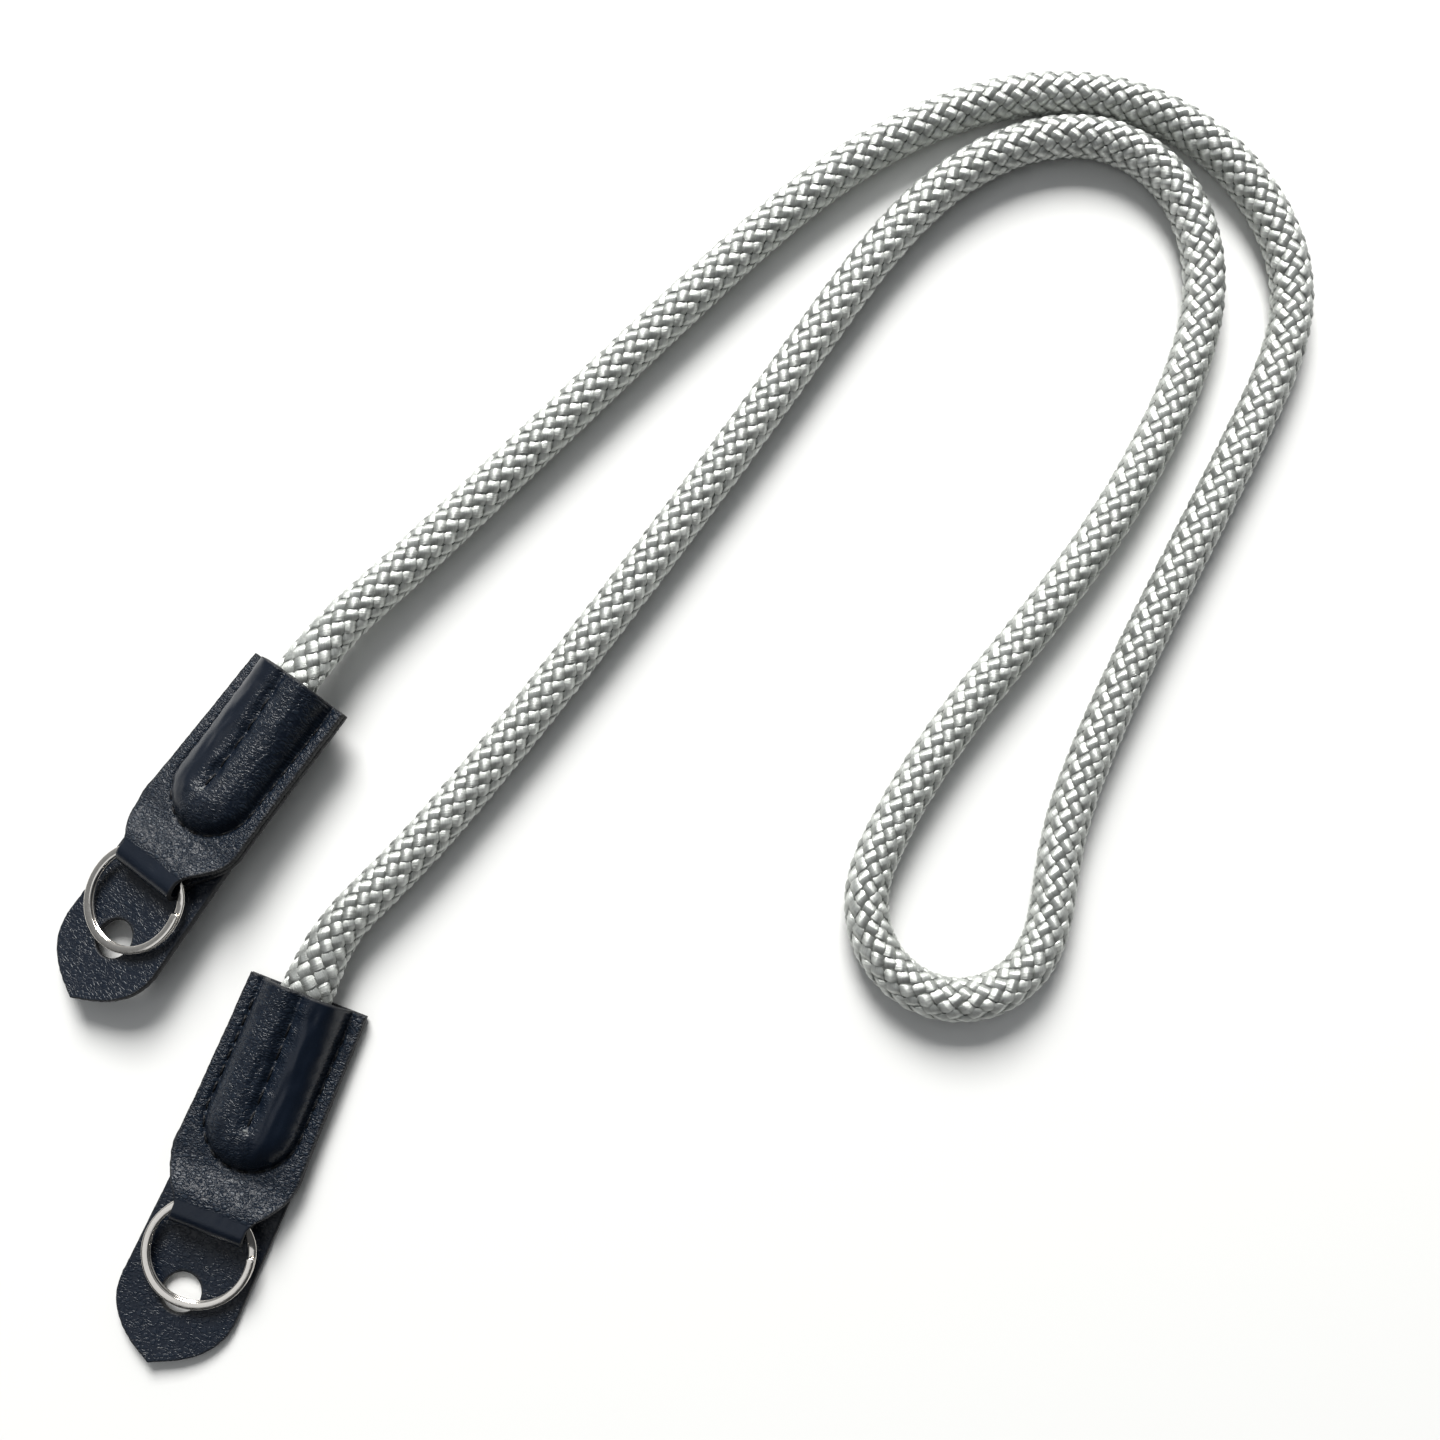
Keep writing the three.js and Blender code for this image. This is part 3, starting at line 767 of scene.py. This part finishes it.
def tab_grid(end):
    """Grids over the strip: x, y, layer, distance to the nearer long edge, and the outer face's points."""
    rows, row_height, row_layer = tab_rows()
    across = tab_columns()
    y = rows[:, None] + 0 * across
    layer = row_layer[:, None] + 0 * across
    half = np.interp(y, TAB_WIDTHS["along"], TAB_WIDTHS["half"])
    x = half * across
    outer = np.stack([x, y, np.where(layer > 0, tab_top(x, y), row_height[:, None])], -1)
    ragged = EDGE_WANDER * wandering(outer, EDGE_WAVES, TAB_SEEDS[end]) * (np.abs(across) > LONG_EDGES_FROM)
    outer[..., 0] += ragged * np.sign(across)
    over_rope = smoothstep(BULGE_HALF_WIDTH, CREASED_WITHIN, bulge_distance(x, y)) * (layer > 0)
    creases = wandering(outer * np.array(CREASE_STRETCH), CREASE_WAVES, TAB_SEEDS[end] + CREASE_SEED)
    outer[..., 2] += (FLAT_CREASES + ROPE_CREASES * over_rope) * creases * (layer > 0)
    return x, y, layer, half * (1 - np.abs(across)), outer


def smoothed_normals(outer):
    """Directions out of a grid of points, taken from a smoothed copy of it."""
    smoothed = outer.copy()
    for _ in range(SMOOTHING_PASSES):
        smoothed[:, 1:-1] = (smoothed[:, :-2] + smoothed[:, 2:]) / 2
        smoothed[1:-1] = (smoothed[:-2] + smoothed[2:]) / 2
    return unit(np.cross(np.gradient(smoothed, axis=1), np.gradient(smoothed, axis=0)))


def tab_grain(end, x, y, layer):
    """Share of full grain: less where the leather is stretched, and least on the bulge's smooth lobe."""
    on_top = layer > 0
    distance = bulge_distance(x, y)
    on_smooth_side = smoothstep(*LOBE_SIDE_FADE, SMOOTH_SIDES[end] * x)
    smooth_lobe = smoothstep(*LOBE_FADE, distance) * on_smooth_side * on_top
    stretched = STRETCH_LOSS * smoothstep(*STRETCH_FADE, distance) * on_top
    grain = np.where(on_top, smoothstep(*FOLD_FADE, y), np.where(layer < 0, 1.0, 0.0))
    return np.clip(grain * (1 - stretched - LOBE_LOSS * smooth_lobe), LEAST_GRAIN, 1)


def add_tab(end, leather):
    x, y, layer, to_side, outer = tab_grid(end)
    past_skiving = smoothstep(*SKIVED_TO, y)
    flat = SKIVED_LEATHER + (LEATHER - LAYER_FREE - SKIVED_LEATHER) * past_skiving
    thickness = np.where(layer == 0, SKIVED_LEATHER, flat)
    to_mouth = np.where(layer == 0, TAB_LENGTH, TAB_LENGTH - y)
    to_edge = np.minimum(to_side, to_mouth)
    edge = 1 - smoothstep(*CUT_EDGE, to_edge)
    run = np.linalg.norm(np.diff(outer[:, RUN_COLUMN, 1:], axis=0), axis=1)
    along = np.concatenate([[0], np.cumsum(run)])[:, None] + 0 * x
    attributes = {"grain": tab_grain(end, x, y, layer), "edge": edge}
    piece = slab(f"tab_leather_{end}", outer, smoothed_normals(outer), thickness, edge_share(to_edge),
                 np.stack([x, along], -1), attributes)
    piece.data.transform(scene_matrix(tab_matrix(end)))
    piece.data.materials.append(leather)
    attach(piece, "root")
    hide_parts(f"end_tab_{end}")


def scene_matrix(matrix):
    """A matrix whose translation is in millimetres, as one in metres."""
    made = matrix.copy()
    made.translation *= MM
    return made


FLAP_TOP = 9.0
FLAP_SHOULDER = -13.5
FLAP_TIP = -25.2
FLAP_OUTLINE_HANDLES = ((11.0, -18.5), (8.0, -22.0))  # of the side curve from the shoulder to the tip
FLAP_TIP_CORNER = (1.6, -24.7)
FLAP_TIP_ROUND = 0.25
FLAP_CORNER = (0.8, 0.4)  # cut off at the tucked end, across and along
FLAP_CURVE_STEPS = 40
FLAP_RAYS = 91  # over half a turn, besides those to the outline's own points
FLAP_RINGS = 30
FLAP_CUT_EDGE = (0.1, 0.32)
FLAP_EDGE_WANDER = 0.1
FLAP_EDGE_WAVES = 1.1
FLAP_SAG = 0.12
FLAP_SAG_WAVES = 0.12
FLAP_BEND_START = -12
FLAP_BEND_LENGTH = 13
FLAP_GRAIN = 0.42


def bezier(points, steps):
    a, b, c, d = (np.array(point, dtype=float) for point in points)
    t = np.linspace(0, 1, steps)[:, None]
    return (1 - t) ** 3 * a + 3 * t * (1 - t) ** 2 * b + 3 * t * t * (1 - t) * c + t ** 3 * d


def flap_outline():
    """Half of the flap's outline from the middle of its tucked end to its tip, on the +X side."""
    side = FLAP_HALF_WIDTH
    cut, drop = FLAP_CORNER
    top = [(0, FLAP_TOP), (side - cut, FLAP_TOP), (side - cut / 2, FLAP_TOP - drop)]
    curve = bezier([(side, FLAP_SHOULDER), *FLAP_OUTLINE_HANDLES, FLAP_TIP_CORNER], FLAP_CURVE_STEPS)
    return np.vstack([top, curve, [(0, FLAP_TIP - FLAP_TIP_ROUND)]])


def flap_rays():
    """Angles of rays from the hole's middle, once round, and the outline's distance on each of them."""
    outline = flap_outline() - (0, FLAP_HOLE_ALONG)
    outline_angle = np.arctan2(outline[:, 0], outline[:, 1])
    rays = np.unique(np.concatenate([np.linspace(0, np.pi, FLAP_RAYS), outline_angle]))
    reach = []
    for ray in rays:
        later = min(np.searchsorted(outline_angle, ray, side="left"), len(outline) - 1)
        start, finish = outline[max(later - 1, 0)], outline[later]
        way = np.array([math.sin(ray), math.cos(ray)])
        side = finish - start
        crossing = way[0] * side[1] - way[1] * side[0]
        if abs(crossing) < 1e-9:
            reach.append(np.hypot(*start))
        else:
            reach.append((start[0] * side[1] - start[1] * side[0]) / crossing)
    reach = np.array(reach)
    rays = np.concatenate([rays, 2 * np.pi - rays[-2:0:-1], [rays[0] + 2 * np.pi]])
    return rays, np.concatenate([reach, reach[-2:0:-1], reach[:1]])


def add_flap(end, leather):
    """Rings of points from the hole's rim out to the outline, on rays from the hole's middle."""
    rays, reach = flap_rays()
    rim = np.stack([np.sin(rays), np.cos(rays), 0 * rays], -1) * reach[:, None]
    rim[-1] = rim[0]
    reach = reach + FLAP_EDGE_WANDER * wandering(rim, FLAP_EDGE_WAVES, FLAP_SEEDS[end])
    inner = FLAP_HOLE_RADIUS + EDGE_STEPS
    spans = [np.full_like(reach, step) for step in inner]
    between = np.linspace(0, 1, FLAP_RINGS)[1:-1]
    spans += [inner[-1] + (reach - EDGE_ROUND - inner[-1]) * part for part in between]
    spans += [reach - step for step in EDGE_STEPS[::-1]]
    spread = np.array(spans)
    x = spread * np.sin(rays)
    y = spread * np.cos(rays) + FLAP_HOLE_ALONG
    to_edge = np.minimum(spread - FLAP_HOLE_RADIUS, reach - spread)
    bend = FLAP_TIP_LIFTS[end] * np.clip((FLAP_BEND_START - y) / FLAP_BEND_LENGTH, 0, 1) ** 2
    sag = FLAP_SAG * wandering(np.stack([x, y, 0 * x], -1), FLAP_SAG_WAVES, FLAP_SEEDS[end])
    outer = np.stack([x, y, FLAP_THICKNESS + bend + np.abs(sag)], -1)
    outer[:, -1] = outer[:, 0]
    normal = np.broadcast_to([0.0, 0.0, 1.0], outer.shape)
    attributes = {"grain": np.full(x.shape, FLAP_GRAIN), "edge": 1 - smoothstep(*FLAP_CUT_EDGE, to_edge)}
    piece = slab(f"flap_leather_{end}", outer, normal, np.full(x.shape, FLAP_THICKNESS),
                 edge_share(to_edge), np.stack([x, y], -1), attributes, ring_shaped=True)
    close_seam(piece)
    piece.data.transform(scene_matrix(flap_matrix(end)))
    piece.data.materials.append(leather)
    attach(piece, "root")
    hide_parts(f"protector_flap_{end}")


def close_seam(piece):
    """Merges the first and last ray of a ring-shaped grid."""
    mesh = bmesh.new()
    mesh.from_mesh(piece.data)
    bmesh.ops.remove_doubles(mesh, verts=mesh.verts, dist=1e-6)
    bmesh.ops.recalc_face_normals(mesh, faces=mesh.faces)
    mesh.to_mesh(piece.data)
    mesh.free()


# ---------- stitches ----------

THREAD_RADIUS = 0.22
STITCH_STEPS = 7
STITCH_SIDES = 8
STITCH_REST = 0.55  # of the thread's radius, how high its middle lies on the leather
STITCH_GAP = 0.3  # from a stitch's end to the seam's hole
STITCH_SINK = 0.75  # how much lower its ends lie than its middle
STITCH_END_SIZE = 0.75  # of the thread's radius, at its ends
SEAM_TO_MOUTH = 1.5  # the least, from the last stitch to the mouth
CROSS_STITCH_HALF = 0.5  # of the pale stitch that ends the middle seam
CROSS_STITCH_AT = SEAM_END - 0.1


def stitch(start, end, surface, facing):
    """One stitch between two holes on a face of the leather that looks up (facing 1) or down (-1)."""
    start, end = np.array(start), np.array(end)
    part = np.linspace(0, 1, STITCH_STEPS)
    flat = start + (end - start) * part[:, None]
    arch = 1 - np.abs(2 * part - 1) ** 4
    z = surface(flat[:, 0], flat[:, 1]) + facing * (THREAD_RADIUS * STITCH_REST - STITCH_SINK * (1 - arch))
    points = np.column_stack([flat, z])
    tangent = unit(np.gradient(points, axis=0))
    side = unit(np.cross(tangent, [0, 0, 1.0]))
    up = np.cross(side, tangent)
    radius = THREAD_RADIUS * (STITCH_END_SIZE + (1 - STITCH_END_SIZE) * arch)
    return tube(points, side, up, radius, radius, STITCH_SIDES)


def seam_point(length):
    """Point on the U-shaped seam at a length from the middle of its round end, signed by side."""
    radius = BULGE_HALF_WIDTH + SEAM_OFFSET
    middle = BULGE_END + BULGE_HALF_WIDTH
    quarter = radius * math.pi / 2
    sign = 1 if length >= 0 else -1
    run = abs(length)
    if run > quarter:
        return (sign * radius, middle + run - quarter)
    return (sign * radius * math.sin(run / radius), middle - radius * math.cos(run / radius))


def tab_bottom(x, y):
    """Height of the tab's bottom face."""
    return np.zeros_like(x)


def tab_stitches():
    """Start, end, surface, facing and share of painted highlight of each stitch in a tab."""
    radius = BULGE_HALF_WIDTH + SEAM_OFFSET
    straight = TAB_LENGTH - SEAM_TO_MOUTH - (BULGE_END + BULGE_HALF_WIDTH)
    count = int((radius * math.pi / 2 + straight) / SEAM_PITCH)
    middle_count = int((TAB_LENGTH - SEAM_TO_MOUTH - SEAM_END) / MIDDLE_PITCH)
    pairs = []
    for index in range(-count, count):
        start, end = index * SEAM_PITCH + STITCH_GAP, (index + 1) * SEAM_PITCH - STITCH_GAP
        pairs.append((seam_point(start), seam_point(end)))
    for index in range(middle_count):
        start, end = SEAM_END + index * MIDDLE_PITCH, SEAM_END + (index + 1) * MIDDLE_PITCH
        pairs.append(((0, start + STITCH_GAP), (0, end - STITCH_GAP)))
    stitches = []
    for start, end in pairs:
        stitches += [(start, end, tab_top, 1, 0.0), (start, end, tab_bottom, -1, 0.0)]
    left, right = (-CROSS_STITCH_HALF, CROSS_STITCH_AT), (CROSS_STITCH_HALF, CROSS_STITCH_AT)
    # This last stitch is painted pale, as its highlight
    stitches.append((left, right, tab_top, 1, 1.0))
    return stitches


def add_stitches(end, thread):
    points, faces, painted_highlight = [], [], []
    for start, finish, surface, facing, highlight_share in tab_stitches():
        made, made_faces = stitch(start, finish, surface, facing)
        first = len(points) * len(made)
        points.append(made)
        faces += [tuple(first + corner for corner in face) for face in made_faces]
        painted_highlight.append(np.full(len(made), highlight_share))
    one = np.arange(STITCH_STEPS * STITCH_SIDES)
    uv = np.column_stack([one // STITCH_SIDES / STITCH_STEPS, one % STITCH_SIDES / STITCH_SIDES])
    piece = make_object(f"tab_stitches_{end}", np.vstack(points), faces, uv=np.tile(uv, (len(points), 1)),
                        attributes={"painted_highlight": np.concatenate(painted_highlight)})
    piece.data.transform(scene_matrix(tab_matrix(end)))
    piece.data.materials.append(thread)
    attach(piece, "root")


# ---------- split ring ----------

# In degrees: where the wire starts, how far it is wound, and where it steps up to its second turn
WINDING = {"start": 64, "whole": 672, "step_from": 320, "step_to": 352}
RING_STEPS = 300
WIRE_SIDES = 20
WIRE_SQUARENESS = 3.4  # 2 would be an ellipse, and more is a squarer section
WIRE_END_ROUND = 0.5  # length over which the wire's cut ends are rounded off
WIRE_END_SIZE = 0.25  # what is left of its section at the very end


def wire_section():
    """Points round the wire's section, as offsets across it and through its thickness."""
    turn = 2 * np.pi * np.arange(WIRE_SIDES) / WIRE_SIDES
    cos, sin = np.cos(turn), np.sin(turn)
    power = 2 / WIRE_SQUARENESS
    wide = np.sign(cos) * np.abs(cos) ** power * WIRE_WIDTH / 2
    thick = np.sign(sin) * np.abs(sin) ** power * WIRE_THICKNESS / 2
    return wide, thick


def add_ring(end, steel):
    wound = np.linspace(0, WINDING["whole"], RING_STEPS)
    angle = np.radians(WINDING["start"] + wound)
    rise = smoothstep(WINDING["step_from"], WINDING["step_to"], wound)
    radius = RING_OUTER_RADIUS - WIRE_WIDTH / 2
    outward = np.stack([np.cos(angle), np.sin(angle), 0 * angle], -1)
    centre = outward * radius
    centre[:, 2] = COIL_PITCH * (rise - 0.5)
    from_end = np.minimum(wound, WINDING["whole"] - wound) * math.radians(radius)
    ending = np.sqrt(1 - (1 - np.clip(from_end / WIRE_END_ROUND, 0, 1)) ** 2)
    full = (WIRE_END_SIZE + (1 - WIRE_END_SIZE) * ending)[:, None]
    wide, thick = wire_section()
    sections = centre[:, None] + outward[:, None] * (wide * full)[..., None]
    sections[..., 2] += thick * full
    piece = make_object(f"ring_wire_{end}", sections.reshape(-1, 3), tube_faces(RING_STEPS, WIRE_SIDES))
    piece.data.transform(scene_matrix(ring_matrix(end)))
    piece.data.materials.append(steel)
    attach(piece, "root")
    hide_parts(f"split_ring_{end}")


# ---------- floor and light ----------

FLOOR_HALF = 3000.0
FLOOR_BELOW = 0.1


def add_floor():
    signs = [(-1, -1), (1, -1), (1, 1), (-1, 1)]
    corners = np.array([(x * FLOOR_HALF, y * FLOOR_HALF, -FLOOR_BELOW) for x, y in signs])
    floor = make_object("floor", corners, [(0, 1, 2, 3)])
    floor.data.materials.append(floor_material())


LIGHT_DISTANCE = 2.4
LIGHTS = {
    "window": {"azimuth": 98, "elevation": 40, "size": 1.1, "power": 103, "colour": (1.0, 0.995, 0.98)},
    "fill": {"azimuth": 205, "elevation": 60, "size": 1.6, "power": 6, "colour": (0.96, 0.98, 1.0)},
}
WORLD_DARK = (0.13, 0.135, 0.14, 1)
WORLD_BRIGHT = (0.95, 0.98, 1.0, 1)
WORLD_CHANGE = (-0.5, 0.65)  # from dark to bright, over the Y part of a direction
WORLD_STRENGTH = 0.42


def add_area_light(name, azimuth, elevation, size, power, colour):
    """A square area light that faces the strap's middle."""
    data = bpy.data.lights.new(name, "AREA")
    data.energy = power
    data.size = size
    data.color = colour
    light = bpy.data.objects.new(name, data)
    turn, height = math.radians(azimuth), math.radians(elevation)
    flat = math.cos(height)
    back = Vector((math.cos(turn) * flat, math.sin(turn) * flat, math.sin(height)))
    light.location = (cad_low + cad_high) / 2 + back * LIGHT_DISTANCE
    light.rotation_euler = back.to_track_quat("Z", "Y").to_euler()
    bpy.context.scene.collection.objects.link(light)


def add_world():
    """A room that is bright towards +Y, where the window is, and dim behind the viewer."""
    world = bpy.data.worlds.new("studio")
    world.use_nodes = True
    nodes, links = world.node_tree.nodes, world.node_tree.links
    split = nodes.new("ShaderNodeSeparateXYZ")
    links.new(nodes.new("ShaderNodeTexCoord").outputs["Generated"], split.inputs[0])
    ramp = nodes.new("ShaderNodeMapRange")
    ramp.interpolation_type = "SMOOTHSTEP"
    ramp.inputs[1].default_value, ramp.inputs[2].default_value = WORLD_CHANGE
    links.new(split.outputs["Y"], ramp.inputs[0])
    mix = nodes.new("ShaderNodeMix")
    mix.data_type = "RGBA"
    mix.inputs[6].default_value = WORLD_DARK
    mix.inputs[7].default_value = WORLD_BRIGHT
    links.new(ramp.outputs[0], mix.inputs[0])
    background = nodes["Background"]
    links.new(mix.outputs[2], background.inputs["Color"])
    background.inputs["Strength"].default_value = WORLD_STRENGTH
    bpy.context.scene.world = world


def add_light():
    add_world()
    bpy.context.scene.view_settings.view_transform = "Standard"
    for name, settings in LIGHTS.items():
        add_area_light(name, **settings)


# ---------- making ----------

add_camera()
add_rope()
leather, thread, steel = leather_material(), thread_material(), ring_material()
for end in ("a", "b"):
    add_tab(end, leather)
    add_stitches(end, thread)
    add_flap(end, leather)
    add_ring(end, steel)
add_floor()
add_light()
